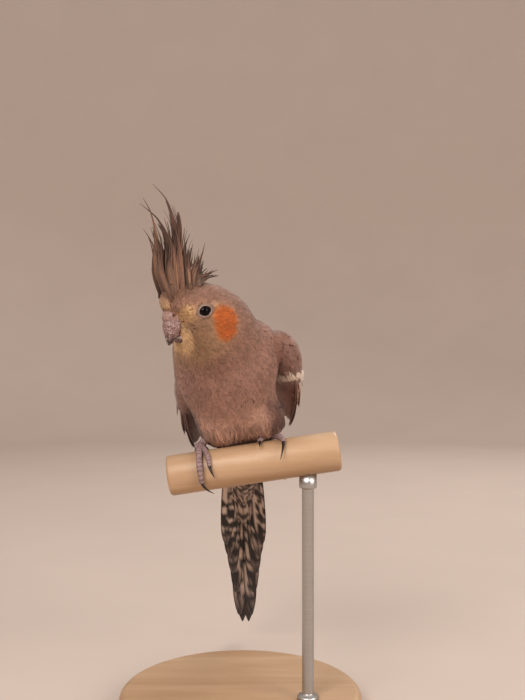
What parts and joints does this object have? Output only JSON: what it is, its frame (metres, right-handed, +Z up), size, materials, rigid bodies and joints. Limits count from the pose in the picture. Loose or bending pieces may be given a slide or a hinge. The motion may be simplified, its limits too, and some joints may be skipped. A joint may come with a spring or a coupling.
{
  "type": "cockatiel on a perch stand",
  "caption": "Life-size still model of a cockatiel with a raised crest, gripping a round wooden perch on a plain rod and round base.",
  "frame": {"origin": "on the underside of the stand's round base, below the middle of the base", "axes": "+Z up; the bird's breast faces -Y, its tail hangs away along +Y, and its left side is towards +X"},
  "size_m": [0.124, 0.173, 0.2605],
  "materials": {
    "coat": "soft grey-brown feathers, yellow and orange on the face",
    "crest": "narrow olive-brown feathers",
    "wing": "overlapping grey feathers, dark towards the ends",
    "tail": "long overlapping feathers, mottled below",
    "bill": "dull horn",
    "cere": "bare matt skin",
    "eye": "wet gloss",
    "foot": "scaly bare skin",
    "claw": "dark horn",
    "stand_wood": "oiled",
    "stand_rod": "brushed"
  },
  "bodies": {
    "root": {"torso": "coat", "neck": "coat", "head": "coat", "crest": "crest", "bill_upper": "bill", "bill_lower": "bill", "cere": "cere", "eye_left": "eye", "eye_right": "eye", "wing_left": "wing", "wing_right": "wing", "tail": "tail", "foot_right": "foot", "foot_left": "foot", "claw_right_1": "claw", "claw_right_2": "claw", "claw_right_3": "claw", "claw_right_4": "claw", "claw_left_1": "claw", "claw_left_2": "claw", "claw_left_3": "claw", "claw_left_4": "claw", "stand_perch": "stand_wood", "stand_base": "stand_wood", "stand_rod": "stand_rod"}
  },
  "joints": []
}
